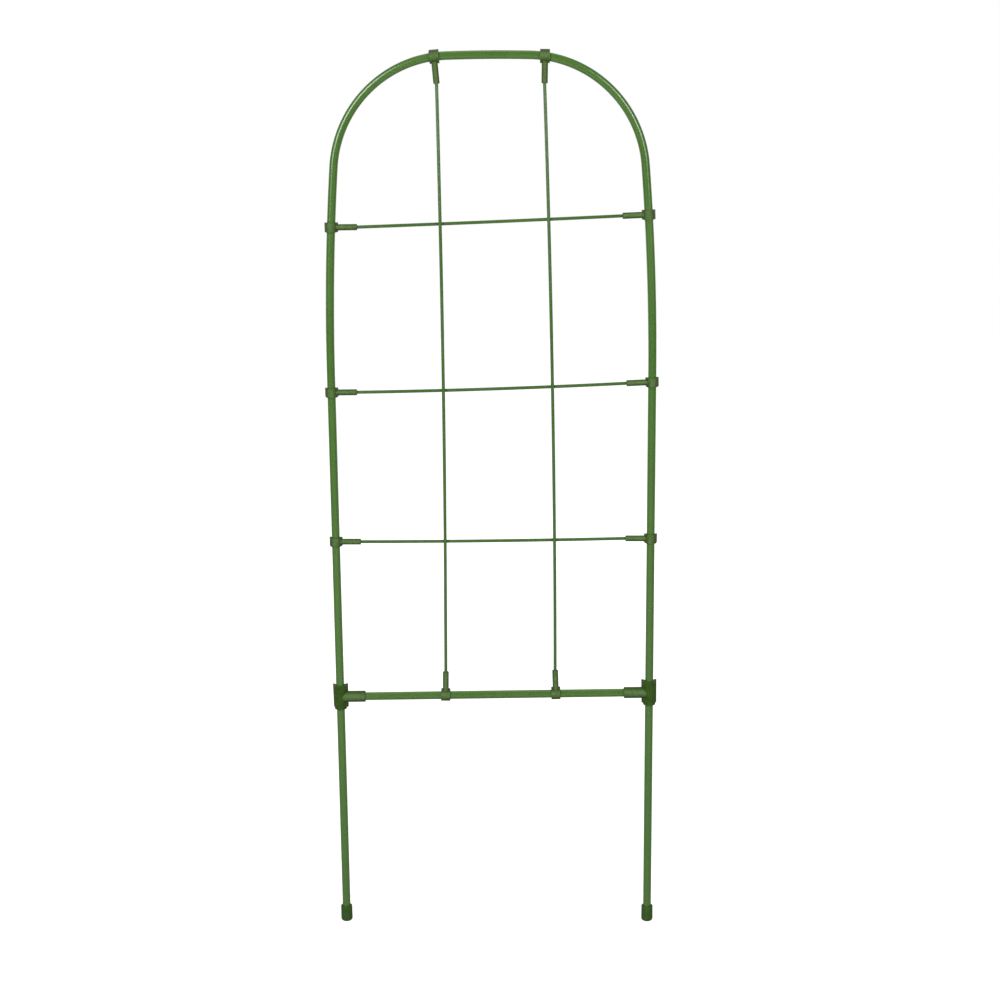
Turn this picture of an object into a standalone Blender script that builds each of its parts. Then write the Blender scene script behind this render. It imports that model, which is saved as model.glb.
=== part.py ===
"""Ladder trellis for climbing plants.

One coated steel tube is bent into an arch with two long uprights.  A straight cross tube joins
the uprights low down through two push-fit tees, three thin rungs and two thin upright rods fill
the frame, and every rod end sits in the socket of a moulded clip that is pressed onto a tube.  The
part stands with its foot caps on z = 0, its width runs along X and its front faces -Y.
"""

import math
from collections import namedtuple

import bmesh
import bpy
from mathutils import Matrix, Vector

# Driving dimensions, in metres unless a name says degrees.
ARCH_TOP = 1.200  # from the ground to the top of the arch tube
UPRIGHT_SPACING = 0.424  # between the axes of the straight uprights
TUBE_RADIUS = 0.0055
TUBE_WALL = 0.0008
ROD_RADIUS = 0.00215
FIT_GAP = 0.0003  # between every two pieces that touch on the real object

# The arch: straight uprights lean in over a long arc, then turn the shoulder to a flat crown.
STRAIGHT_TOP = 0.780
LEAN_DEGREES = 4.65
SHOULDER_RADIUS = 0.152
CROWN_RADIUS = 2.0

# Heights of the cross members at the left and the right upright, as they were pressed on.
CROSS_TUBE_HEIGHTS = (0.3338, 0.3392)
RUNG_HEIGHTS = {
    "upper": (0.9772, 0.9910),
    "middle": (0.7593, 0.7713),
    "lower": (0.5547, 0.5578),
}
RUNG_SLOPES = {  # of the left and the right socket, in degrees that rise to the right
    "upper": (0.4, 2.2),
    "middle": (0.4, 2.5),
    "lower": (-0.3, -0.1),
}
RUNG_SAGS = {"upper": 0.0005, "middle": 0.0016, "lower": 0.0010}
SLIDING_RUNGS = ("middle", "lower")

# Each upright rod: its distance from the middle at the crown and at the cross tube, the slant of
# its upper and its lower socket in degrees that run right on the way down, and its bow to the right.
ROD_PLACES = {
    "left": (-0.0690, -0.0670),
    "right": (0.0720, 0.0842),
}
ROD_SLANTS = {"left": (4.6, -1.0), "right": (-1.0, 1.6)}
ROD_BOWS = {"left": 0.0029, "right": 0.0032}
RUNG_TRAVEL = 0.085  # how far the lower rung slides down behind the rods
ROD_MARGIN = 0.004  # a rod stays forward for this far past the outermost rungs

# Every clip and tee grips its tube with an open collar whose two lips flare out.
LIP_WALL = 0.0018

# Rod clip: a short collar, with a round socket for the rod.
CLIP_WALL = 0.0020
CLIP_LENGTH = 0.0125
CLIP_BACK = 0.0036  # how far the lips reach behind the tube's axis
CLIP_LIP_FLARE = 0.0012  # how far a lip stands out past the round of the collar
CLIP_LIP_DEGREES = 97.0  # where a lip leaves the round of the collar, from the back
CLIP_MOUTH_DEGREES = 62.0  # half of the collar's opening, seen from the tube's axis
SOCKET_WALL = 0.0016
SOCKET_LENGTH = 0.026
NOSE_CHAMFER = 0.0006

# Tee: a longer, heavier collar, with a socket for the cross tube.
TEE_WALL = 0.0028
TEE_LENGTH = 0.034
TEE_BACK = 0.0066
TEE_LIP_FLARE = 0.0020
TEE_LIP_DEGREES = 69.0
TEE_MOUTH_DEGREES = 50.0
TEE_TAPER = 0.98  # width of the collar's lower end against its upper end
TEE_LOWER_ROUND = 0.0012
BRANCH_WALL = 0.0019
BRANCH_LENGTH = 0.026
BRANCH_CHAMFER = 0.0008

# Foot cap: a cup pushed over the end of each upright.
CAP_WALL = 0.0022
CAP_HEIGHT = 0.0225
CAP_FLOOR = 0.003
CAP_RIM_CHAMFER = 0.0010
CAP_ROUND = 0.0035

# Facets of the round shapes.
TUBE_BEVEL_RESOLUTION = 4
ROD_BEVEL_RESOLUTION = 3
COLLAR_FACETS = 24
SOCKET_FACETS = 16
CAP_FACETS = 32
CAP_ROUND_STEPS = 4
LEAN_STEPS = 8
SHOULDER_STEPS = 24
CROWN_STEPS = 4
RUNG_STEPS = 12
ROD_STEPS = 36
SMOOTH_DEGREES = 35.0

MERGE_DISTANCE = 0.00001
CUT_MARGIN = 0.004  # how far a cutter runs past the wall that it cuts
ROOT_SHARE = 0.5  # a socket starts this far out to where its front meets the round of the collar

# Sizes that follow from the ones above.
HALF_SPACING = UPRIGHT_SPACING / 2
CROWN_HEIGHT = ARCH_TOP - TUBE_RADIUS
TUBE_SEAT = TUBE_RADIUS + FIT_GAP
ROD_SEAT = ROD_RADIUS + FIT_GAP
CLIP_RADIUS = TUBE_SEAT + CLIP_WALL
TEE_RADIUS = TUBE_SEAT + TEE_WALL
CAP_RADIUS = TUBE_SEAT + CAP_WALL
SOCKET_RADIUS = ROD_SEAT + SOCKET_WALL
SOCKET_REACH = CLIP_RADIUS + SOCKET_LENGTH
BRANCH_RADIUS = TUBE_SEAT + BRANCH_WALL
ROD_FORWARD = 2 * ROD_RADIUS + FIT_GAP  # from a rung's axis to the rods that pass in front
CROSS_LEFT = Vector((-HALF_SPACING, 0, CROSS_TUBE_HEIGHTS[0]))
CROSS_RIGHT = Vector((HALF_SPACING, 0, CROSS_TUBE_HEIGHTS[1]))
CROSS_LINE = (CROSS_RIGHT - CROSS_LEFT).normalized()
Collar = namedtuple("Collar", "radius length back spread lip mouth")
CLIP_COLLAR = Collar(
    radius=CLIP_RADIUS,
    length=CLIP_LENGTH,
    back=CLIP_BACK,
    spread=CLIP_RADIUS + CLIP_LIP_FLARE,
    lip=math.radians(CLIP_LIP_DEGREES),
    mouth=math.radians(CLIP_MOUTH_DEGREES),
)
TEE_COLLAR = Collar(
    radius=TEE_RADIUS,
    length=TEE_LENGTH,
    back=TEE_BACK,
    spread=TEE_RADIUS + TEE_LIP_FLARE,
    lip=math.radians(TEE_LIP_DEGREES),
    mouth=math.radians(TEE_MOUTH_DEGREES),
)
LOWEST_RUNG = min(min(heights) for heights in RUNG_HEIGHTS.values())
HIGHEST_RUNG = max(max(heights) for heights in RUNG_HEIGHTS.values())

# The arch is three arcs that meet without a kink.  Angles along it count from upright.  The
# widths of the arcs add up to half the spacing and their heights to the rise, which leaves one
# angle for the end of the shoulder and one radius for the lean.
LEAN = math.radians(LEAN_DEGREES)
RISE = CROWN_HEIGHT - STRAIGHT_TOP
SHOULDER_WIDTH = HALF_SPACING - SHOULDER_RADIUS * math.cos(LEAN)
SHOULDER_WIDTH -= math.tan(LEAN / 2) * (RISE + SHOULDER_RADIUS * math.sin(LEAN) - CROWN_RADIUS)
CROWN_SHARE = SHOULDER_WIDTH * math.cos(LEAN / 2) / (CROWN_RADIUS - SHOULDER_RADIUS)
SHOULDER_END = LEAN / 2 + math.acos(CROWN_SHARE)
SHOULDER_RISE = SHOULDER_RADIUS * (math.sin(SHOULDER_END) - math.sin(LEAN))
CROWN_RISE = CROWN_RADIUS * (1 - math.sin(SHOULDER_END))
LEAN_RISE = RISE - SHOULDER_RISE - CROWN_RISE
LEAN_RADIUS = LEAN_RISE / math.sin(LEAN)

RIGHT = Vector((1, 0, 0))
BACK = Vector((0, 1, 0))
UP = Vector((0, 0, 1))


def arch_point(angle):
    """Point of the right half of the arch where the tube has turned by angle from upright."""
    lean = min(angle, LEAN)
    x = HALF_SPACING - LEAN_RADIUS * (1 - math.cos(lean))
    z = STRAIGHT_TOP + LEAN_RADIUS * math.sin(lean)
    if angle > LEAN:
        shoulder = min(angle, SHOULDER_END)
        x -= SHOULDER_RADIUS * (math.cos(LEAN) - math.cos(shoulder))
        z += SHOULDER_RADIUS * (math.sin(shoulder) - math.sin(LEAN))
    if angle > SHOULDER_END:
        x -= CROWN_RADIUS * (math.cos(SHOULDER_END) - math.cos(angle))
        z += CROWN_RADIUS * (math.sin(angle) - math.sin(SHOULDER_END))
    return Vector((x, 0, z))


def upright_at(side, height):
    """Axis point of an upright at a height, and the direction in which the tube runs up."""
    above = height - STRAIGHT_TOP
    if above <= 0:
        angle = 0.0
    elif above <= LEAN_RISE:
        angle = math.asin(above / LEAN_RADIUS)
    else:
        angle = math.asin(math.sin(LEAN) + (above - LEAN_RISE) / SHOULDER_RADIUS)
    point = Vector((side * arch_point(angle).x, 0, height))
    return point, Vector((-side * math.sin(angle), 0, math.cos(angle)))


def crown_at(x):
    """Axis point of the arch above x, and the direction in which the tube runs to the right."""
    side = math.copysign(1, x)
    angle = math.acos(abs(x) / CROWN_RADIUS)
    if angle < SHOULDER_END:
        shoulder_centre = (CROWN_RADIUS - SHOULDER_RADIUS) * math.cos(SHOULDER_END)
        angle = math.acos((abs(x) - shoulder_centre) / SHOULDER_RADIUS)
    point = Vector((x, 0, arch_point(angle).z))
    return point, Vector((math.sin(angle), 0, -side * math.cos(angle)))


def clear_scene():
    for item in list(bpy.data.objects):
        bpy.data.objects.remove(item, do_unlink=True)


def add_collection(name):
    collection = bpy.data.collections.new(name)
    bpy.context.scene.collection.children.link(collection)
    return collection


def add_material(name, colour, roughness):
    material = bpy.data.materials.new(name)
    material.use_nodes = True
    material.diffuse_color = (*colour, 1.0)
    shader = material.node_tree.nodes["Principled BSDF"]
    shader.inputs["Base Color"].default_value = (*colour, 1.0)
    shader.inputs["Roughness"].default_value = roughness
    shader.inputs["Metallic"].default_value = 0.0
    return material


clear_scene()
PARTS = add_collection("ladder_trellis")
CUTTERS = add_collection("cutters")

TUBE_COAT = add_material("tube_coat", (0.066, 0.178, 0.022), 0.30)
ROD_COAT = add_material("rod_coat", (0.062, 0.155, 0.028), 0.40)
CLIP_PLASTIC = add_material("clip_plastic", (0.050, 0.100, 0.026), 0.55)
CAP_PLASTIC = add_material("cap_plastic", (0.032, 0.085, 0.020), 0.60)


def add_object(name, data, collection, material=None):
    item = bpy.data.objects.new(name, data)
    collection.objects.link(item)
    if material is not None:
        data.materials.append(material)
    return item


def shade_round(mesh):
    mesh.shade_smooth()
    mesh.set_sharp_from_angle(angle=math.radians(SMOOTH_DEGREES))


def add_bar(name, points, radius, resolution, material, wall=0.0):
    """A bar along points, or a tube with open ends where it has a wall."""
    curve = bpy.data.curves.new(name, "CURVE")
    curve.dimensions = "3D"
    curve.bevel_depth = radius
    curve.bevel_resolution = resolution
    curve.use_fill_caps = wall == 0
    spline = curve.splines.new("POLY")
    spline.points.add(len(points) - 1)
    for target, point in zip(spline.points, points):
        target.co = (*point, 1.0)
    spline.use_smooth = True
    item = add_object(name, curve, PARTS, material)
    if wall:
        shell = item.modifiers.new("wall", "SOLIDIFY")
        shell.thickness = wall
        shell.offset = -1.0
        shell.use_rim = True
    return item


def extruded_outline(name, outline, length):
    """Mesh of a flat outline in X and Y, extruded evenly along Z."""
    curve = bpy.data.curves.new(name, "CURVE")
    curve.dimensions = "2D"
    curve.fill_mode = "BOTH"
    curve.extrude = length / 2
    spline = curve.splines.new("POLY")
    spline.points.add(len(outline) - 1)
    for target, (x, y) in zip(spline.points, outline):
        target.co = (x, y, 0, 1.0)
    spline.use_cyclic_u = True
    drawn = add_object(name, curve, CUTTERS)
    bpy.context.view_layer.update()
    evaluated = drawn.evaluated_get(bpy.context.evaluated_depsgraph_get())
    mesh = bpy.data.meshes.new_from_object(evaluated)
    bpy.data.objects.remove(drawn)
    bpy.data.curves.remove(curve)
    shape = bmesh.new()
    shape.from_mesh(mesh)
    bmesh.ops.remove_doubles(shape, verts=shape.verts, dist=MERGE_DISTANCE)
    bmesh.ops.recalc_face_normals(shape, faces=shape.faces)
    shape.to_mesh(mesh)
    shape.free()
    return mesh


def round_bar(name, radius, start, end, chamfer=0.0):
    """Mesh of a round bar along +X from start to end, chamfered at its end."""
    mesh = bpy.data.meshes.new(name)
    shape = bmesh.new()
    bmesh.ops.create_cone(
        shape,
        cap_ends=True,
        segments=SOCKET_FACETS,
        radius1=radius,
        radius2=radius,
        depth=end - start,
    )
    if chamfer:
        rim = [edge for edge in shape.edges if all(vert.co.z > 0 for vert in edge.verts)]
        bmesh.ops.bevel(shape, geom=rim, offset=chamfer, segments=1, affect="EDGES", material=-1)
    turn = Matrix.Rotation(math.pi / 2, 4, "Y")
    shift = Matrix.Translation(((start + end) / 2, 0, 0))
    bmesh.ops.transform(shape, matrix=shift @ turn, verts=shape.verts)
    shape.to_mesh(mesh)
    shape.free()
    return mesh


def arc(radius, start, end, steps):
    """Points of an arc, with angles counted from +Y towards +X."""
    angles = [start + (end - start) * i / steps for i in range(steps + 1)]
    return [(radius * math.sin(angle), radius * math.cos(angle)) for angle in angles]


def collar_outline(collar):
    """Outside of a collar: round in front, with two lips that end at its back."""
    outline = arc(collar.radius, collar.lip, 2 * math.pi - collar.lip, COLLAR_FACETS)
    return outline + [(-collar.spread, collar.back), (collar.spread, collar.back)]


def keyhole_outline(collar):
    """Inside of a collar: the tube's seat and the mouth, which widens to the back."""
    outline = arc(TUBE_SEAT, collar.mouth, 2 * math.pi - collar.mouth, COLLAR_FACETS)
    inner_x, inner_y = outline[0]
    wide = collar.spread - LIP_WALL
    slope = (wide - inner_x) / (collar.back - inner_y)
    wide += slope * CUT_MARGIN
    behind = collar.back + CUT_MARGIN
    return outline + [(-wide, behind), (wide, behind)]


def frame_at(origin, out, along):
    """Frame at origin with X along out, Y to the back and Z close to the line of along."""
    x_axis = out.normalized()
    y_axis = along.cross(x_axis).normalized()
    y_axis *= math.copysign(1, y_axis.dot(BACK))
    turn = Matrix((x_axis, y_axis, x_axis.cross(y_axis))).transposed().to_4x4()
    return Matrix.Translation(origin) @ turn


def add_boolean(item, label, operation, mesh, place):
    shade_round(mesh)
    tool = add_object(f"{item.name}_{label}", mesh, CUTTERS)
    tool.parent = item
    tool.matrix_world = place
    tool.hide_render = True
    tool.display_type = "WIRE"
    change = item.modifiers.new(label, "BOOLEAN")
    change.operation = operation
    change.object = tool


def finish_collar(item, centre, tube_direction, collar, socket):
    """Joins the socket to a collar, then cuts out the socket's bore and the tube's seat."""
    seat_radius, socket_radius, reach, chamfer = socket
    root = ROOT_SHARE * math.sqrt(collar.radius**2 - socket_radius**2)
    sleeve = round_bar("socket", socket_radius, root, reach, chamfer)
    hollow = round_bar("socket_bore", seat_radius, collar.radius, reach + CUT_MARGIN)
    keyhole = extruded_outline("seat", keyhole_outline(collar), collar.length + 2 * CUT_MARGIN)
    add_boolean(item, "socket", "UNION", sleeve, item.matrix_world)
    add_boolean(item, "socket_bore", "DIFFERENCE", hollow, item.matrix_world)
    seat = frame_at(centre, BACK.cross(tube_direction), tube_direction)
    add_boolean(item, "seat", "DIFFERENCE", keyhole, seat)


def add_clip(name, centre, tube_direction, rod_direction):
    """A push-fit clip at centre, with its socket along rod_direction."""
    mesh = extruded_outline(name, collar_outline(CLIP_COLLAR), CLIP_LENGTH)
    shade_round(mesh)
    clip = add_object(name, mesh, PARTS, CLIP_PLASTIC)
    clip.matrix_world = frame_at(centre, rod_direction, tube_direction)
    socket = (ROD_SEAT, SOCKET_RADIUS, SOCKET_REACH, NOSE_CHAMFER)
    finish_collar(clip, centre, tube_direction, CLIP_COLLAR, socket)
    return clip


def round_lower_end(mesh, down):
    """Narrows the end of a collar on the side of down along Z, and rounds its rim."""
    shape = bmesh.new()
    shape.from_mesh(mesh)
    lower = [vert for vert in shape.verts if vert.co.z * down > 0]
    bmesh.ops.scale(shape, vec=(TEE_TAPER, 1, 1), verts=lower)
    inside = set(lower)
    rim = [edge for edge in shape.edges if inside.issuperset(edge.verts)]
    rim = [edge for edge in rim if edge.calc_face_angle() > math.radians(SMOOTH_DEGREES)]
    bmesh.ops.bevel(
        shape,
        geom=rim,
        offset=TEE_LOWER_ROUND,
        segments=2,
        profile=0.5,
        affect="EDGES",
        material=-1,
    )
    shape.to_mesh(mesh)
    shape.free()


def add_tee(name, side):
    """A push-fit tee on an upright, with its socket along the cross tube."""
    centre, along = upright_at(side, CROSS_LEFT.z if side < 0 else CROSS_RIGHT.z)
    place = frame_at(centre, -side * CROSS_LINE, along)
    mesh = extruded_outline(name, collar_outline(TEE_COLLAR), TEE_LENGTH)
    round_lower_end(mesh, -place.col[2].z)
    shade_round(mesh)
    tee = add_object(name, mesh, PARTS, CLIP_PLASTIC)
    tee.matrix_world = place
    socket = (TUBE_SEAT, BRANCH_RADIUS, TEE_RADIUS + BRANCH_LENGTH, BRANCH_CHAMFER)
    finish_collar(tee, centre, along, TEE_COLLAR, socket)


def add_foot_cap(name, side):
    """A turned cup over the lower end of an upright, with a flat face under it."""
    profile = [
        (0, CAP_FLOOR),
        (TUBE_SEAT, CAP_FLOOR),
        (TUBE_SEAT, CAP_HEIGHT),
        (CAP_RADIUS - CAP_RIM_CHAMFER, CAP_HEIGHT),
        (CAP_RADIUS, CAP_HEIGHT - CAP_RIM_CHAMFER),
    ]
    for x, y in arc(CAP_ROUND, math.pi / 2, math.pi, CAP_ROUND_STEPS):
        profile.append((CAP_RADIUS - CAP_ROUND + x, CAP_ROUND + y))
    profile.append((0, 0))
    mesh = bpy.data.meshes.new(name)
    shape = bmesh.new()
    corners = [shape.verts.new((x, 0, z)) for x, z in profile]
    for first, second in zip(corners, corners[1:]):
        shape.edges.new((first, second))
    shape.to_mesh(mesh)
    shape.free()
    cap = add_object(name, mesh, PARTS, CAP_PLASTIC)
    cap.location = side * HALF_SPACING * RIGHT
    turn = cap.modifiers.new("turn", "SCREW")
    turn.axis = "Z"
    turn.steps = CAP_FACETS
    turn.render_steps = CAP_FACETS
    turn.use_merge_vertices = True
    turn.merge_threshold = MERGE_DISTANCE
    turn.use_smooth_shade = True


def arch_path():
    """Points along the axis of the arch tube, from the left foot to the right foot."""
    foot = Vector((HALF_SPACING, 0, CAP_FLOOR + FIT_GAP))
    turns = (
        (0, LEAN, LEAN_STEPS),
        (LEAN, SHOULDER_END, SHOULDER_STEPS),
        (SHOULDER_END, math.pi / 2, CROWN_STEPS),
    )
    right = [foot]
    for start, end, steps in turns:
        right += [arch_point(start + (end - start) * i / steps) for i in range(steps)]
    left = [Vector((-point.x, 0, point.z)) for point in right]
    return left + [Vector((0, 0, CROWN_HEIGHT))] + right[::-1]


def slanting(degrees, line, side):
    """Direction close to line, up or to the right, turned by degrees towards side."""
    angle = math.radians(degrees)
    return math.cos(angle) * line + math.sin(angle) * side


def bar_path(start, start_out, end, end_out, bow, steps):
    """Points of a rod that is straight in both its sockets and bows evenly between their noses."""
    seat = CLIP_RADIUS + FIT_GAP
    first = start + SOCKET_REACH * start_out
    last = end + SOCKET_REACH * end_out
    points = [start + seat * start_out]
    for i in range(steps + 1):
        share = i / steps
        points.append(first.lerp(last, share) + 4 * share * (1 - share) * bow)
    points.append(end + seat * end_out)
    return points


def eased(share):
    share = min(max(share, 0), 1)
    return share**2 * (3 - 2 * share)


def rod_path(foot, foot_out, top, top_out, bow):
    """Points of an upright rod, which bows forward between its sockets to pass the rungs."""
    foot_nose = foot.z + SOCKET_REACH * foot_out.z
    top_nose = top.z + SOCKET_REACH * top_out.z
    foot_rise = LOWEST_RUNG - RUNG_TRAVEL - ROD_MARGIN - foot_nose
    top_rise = top_nose - HIGHEST_RUNG - ROD_MARGIN
    points = []
    for point in bar_path(foot, foot_out, top, top_out, bow * RIGHT, ROD_STEPS):
        forward = eased((point.z - foot_nose) / foot_rise) * eased((top_nose - point.z) / top_rise)
        points.append(point - ROD_FORWARD * forward * BACK)
    return points


def add_rung(level, heights):
    """A rung with its two clips; a rung that slides hangs from an empty on its slide."""
    left, left_tube = upright_at(-1, heights[0])
    right, right_tube = upright_at(1, heights[1])
    left_slope, right_slope = RUNG_SLOPES[level]
    left_out = slanting(left_slope, RIGHT, UP)
    right_out = -slanting(right_slope, RIGHT, UP)
    sag = -RUNG_SAGS[level] * UP
    path = bar_path(left, left_out, right, right_out, sag, RUNG_STEPS)
    pieces = [
        add_bar(f"rung_{level}", path, ROD_RADIUS, ROD_BEVEL_RESOLUTION, ROD_COAT),
        add_clip(f"clip_{level}_left", left, left_tube, left_out),
        add_clip(f"clip_{level}_right", right, right_tube, right_out),
    ]
    if level in SLIDING_RUNGS:
        slide = add_object(f"rung_{level}_slide", None, PARTS)
        slide.location = (left + right) / 2
        bpy.context.view_layer.update()
        for piece in pieces:
            piece.parent = slide
            piece.matrix_parent_inverse = slide.matrix_world.inverted()


def add_upright_rod(side_name, top_x, foot_x):
    """An upright rod with its clip on the arch and its clip on the cross tube."""
    top, arch_direction = crown_at(top_x)
    foot = CROSS_LEFT + (foot_x + HALF_SPACING) / CROSS_LINE.x * CROSS_LINE
    top_slant, foot_slant = ROD_SLANTS[side_name]
    top_out = slanting(top_slant, -UP, RIGHT)
    foot_out = slanting(foot_slant, UP, -RIGHT)
    path = rod_path(foot, foot_out, top, top_out, ROD_BOWS[side_name])
    add_bar(f"rod_{side_name}", path, ROD_RADIUS, ROD_BEVEL_RESOLUTION, ROD_COAT)
    add_clip(f"clip_rod_{side_name}_top", top, arch_direction, top_out)
    add_clip(f"clip_rod_{side_name}_foot", foot, CROSS_LINE, foot_out)


def add_cross_tube():
    end = (TEE_RADIUS + FIT_GAP) * CROSS_LINE
    path = [CROSS_LEFT + end, CROSS_RIGHT - end]
    add_bar("cross_tube", path, TUBE_RADIUS, TUBE_BEVEL_RESOLUTION, TUBE_COAT, TUBE_WALL)


add_bar("arch_tube", arch_path(), TUBE_RADIUS, TUBE_BEVEL_RESOLUTION, TUBE_COAT, TUBE_WALL)
add_cross_tube()

for rung_level, rung_heights in RUNG_HEIGHTS.items():
    add_rung(rung_level, rung_heights)

for rod_side, (arch_x, cross_x) in ROD_PLACES.items():
    add_upright_rod(rod_side, arch_x, cross_x)

for side_label, side_sign in (("left", -1), ("right", 1)):
    add_tee(f"tee_{side_label}", side_sign)
    add_foot_cap(f"foot_cap_{side_label}", side_sign)
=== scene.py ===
"""Ladder trellis for climbing plants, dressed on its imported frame."""

import math

import bmesh
import bpy
from mathutils import Matrix, Vector


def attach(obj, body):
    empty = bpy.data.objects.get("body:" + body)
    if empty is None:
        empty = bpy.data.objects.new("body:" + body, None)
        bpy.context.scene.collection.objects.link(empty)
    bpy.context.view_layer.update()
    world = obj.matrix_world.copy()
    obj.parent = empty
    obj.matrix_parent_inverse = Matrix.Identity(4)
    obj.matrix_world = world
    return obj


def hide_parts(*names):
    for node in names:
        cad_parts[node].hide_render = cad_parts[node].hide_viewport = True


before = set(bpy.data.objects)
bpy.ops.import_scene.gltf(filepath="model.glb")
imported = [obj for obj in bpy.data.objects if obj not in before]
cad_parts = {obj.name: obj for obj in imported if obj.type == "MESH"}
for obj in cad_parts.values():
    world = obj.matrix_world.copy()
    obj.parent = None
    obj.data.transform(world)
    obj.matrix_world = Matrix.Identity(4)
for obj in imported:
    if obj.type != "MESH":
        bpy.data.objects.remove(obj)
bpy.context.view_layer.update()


# ---- Arch tube
# One length of thin-walled steel tube with a smooth green plastic coat.  It is bent cold over
# round formers: both legs lean in over a long arc, turn the shoulders and meet in a flat crown.
# Its two ends stand open inside the foot caps.
ARCH_TOP = 1.200
UPRIGHT_SPACING = 0.424
TUBE_RADIUS = 0.0055
TUBE_WALL = 0.0008
TUBE_FOOT = 0.0033
STRAIGHT_TOP = 0.780
LEAN = math.radians(4.65)
SHOULDER_RADIUS = 0.152
CROWN_RADIUS = 2.0
TUBE_FACETS = 40
STRAIGHT_STEPS = 6
LEAN_STEPS = 16
SHOULDER_STEPS = 48
CROWN_STEPS = 16
SHARP_ANGLE = math.radians(35)
DRIFT_SCALE = 9.0
LINE_SCALE = 5.0
PEEL_SCALE = 3500.0
SPECK_SCALE = 620.0
PATCH_SCALE = 24.0
LINE_SHARE = 0.8
PEEL_SHARE = 0.2
DRIFT_ROUGHNESS = 0.06
DUST_ROUGHNESS = 0.25
COAT_BUMP = 0.25
COAT_DEPTH = 0.00003

RIGHT = Vector((1, 0, 0))
BACK = Vector((0, 1, 0))
UP = Vector((0, 0, 1))
HALF_SPACING = UPRIGHT_SPACING / 2
CROWN_HEIGHT = ARCH_TOP - TUBE_RADIUS
RISE = CROWN_HEIGHT - STRAIGHT_TOP
SHOULDER_WIDTH = HALF_SPACING - SHOULDER_RADIUS * math.cos(LEAN)
SHOULDER_WIDTH -= math.tan(LEAN / 2) * (RISE + SHOULDER_RADIUS * math.sin(LEAN) - CROWN_RADIUS)
CROWN_SHARE = SHOULDER_WIDTH * math.cos(LEAN / 2) / (CROWN_RADIUS - SHOULDER_RADIUS)
SHOULDER_END = LEAN / 2 + math.acos(CROWN_SHARE)
LEAN_RISE = RISE - SHOULDER_RADIUS * (math.sin(SHOULDER_END) - math.sin(LEAN))
LEAN_RISE -= CROWN_RADIUS * (1 - math.sin(SHOULDER_END))
LEAN_RADIUS = LEAN_RISE / math.sin(LEAN)
LEAN_CENTRE = Vector((HALF_SPACING - LEAN_RADIUS, 0, STRAIGHT_TOP))
CROWN_CENTRE = Vector((0, 0, CROWN_HEIGHT - CROWN_RADIUS))
SHOULDER_LINE = Vector((math.cos(SHOULDER_END), 0, math.sin(SHOULDER_END)))
SHOULDER_CENTRE = CROWN_CENTRE + (CROWN_RADIUS - SHOULDER_RADIUS) * SHOULDER_LINE


def add_piece(name, shape, material, body, node):
    """Makes a finished piece from a bmesh; it stands for one CAD node and rides on a body."""
    mesh = bpy.data.meshes.new(name)
    shape.to_mesh(mesh)
    shape.free()
    mesh.shade_smooth()
    mesh.set_sharp_from_angle(angle=SHARP_ANGLE)
    mesh.materials.append(material)
    piece = bpy.data.objects.new(name, mesh)
    bpy.context.scene.collection.objects.link(piece)
    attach(piece, body)
    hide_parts(node)
    return piece


def add_group(name, inputs, outputs):
    """A shader node group with its sockets, ready to be filled."""
    group = bpy.data.node_groups.new(name, "ShaderNodeTree")
    for label, kind, value in inputs:
        socket = group.interface.new_socket(label, in_out="INPUT", socket_type=kind)
        if value is not None:
            socket.default_value = value
    for label, kind in outputs:
        group.interface.new_socket(label, in_out="OUTPUT", socket_type=kind)
    start = group.nodes.new("NodeGroupInput")
    end = group.nodes.new("NodeGroupOutput")
    return group, start.outputs, end.inputs


def add_node(tree, kind, links=(), **settings):
    """A node with its settings, and its inputs linked or set by name or number."""
    node = tree.nodes.new(kind)
    for key, value in settings.items():
        setattr(node, key, value)
    for socket, source in dict(links).items():
        if isinstance(source, bpy.types.NodeSocket):
            tree.links.new(source, node.inputs[socket])
        else:
            node.inputs[socket].default_value = source
    return node


def add_noise(tree, vector, scale, detail, roughness):
    links = {"Vector": vector, "Scale": scale, "Detail": detail, "Roughness": roughness}
    return add_node(tree, "ShaderNodeTexNoise", links).outputs["Fac"]


def add_math(tree, operation, first, second, clamp=False):
    links = {0: first, 1: second}
    node = add_node(tree, "ShaderNodeMath", links, operation=operation, use_clamp=clamp)
    return node.outputs["Value"]


def add_range(tree, value, low, high, to_low=0.0, to_high=1.0):
    """Maps low..high smoothly onto to_low..to_high."""
    links = {"Value": value, 1: low, 2: high, 3: to_low, 4: to_high}
    node = add_node(tree, "ShaderNodeMapRange", links, interpolation_type="SMOOTHSTEP")
    return node.outputs["Result"]


def add_mix(tree, share, first, second):
    """Goes from the first colour to the second as share goes from zero to one."""
    node = add_node(tree, "ShaderNodeMix", data_type="RGBA")
    for number, source in ((0, share), (6, first), (7, second)):
        if isinstance(source, bpy.types.NodeSocket):
            tree.links.new(source, node.inputs[number])
        else:
            node.inputs[number].default_value = source
    return node.outputs[2]


def colour(red, green, blue):
    return (red, green, blue, 1.0)


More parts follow.
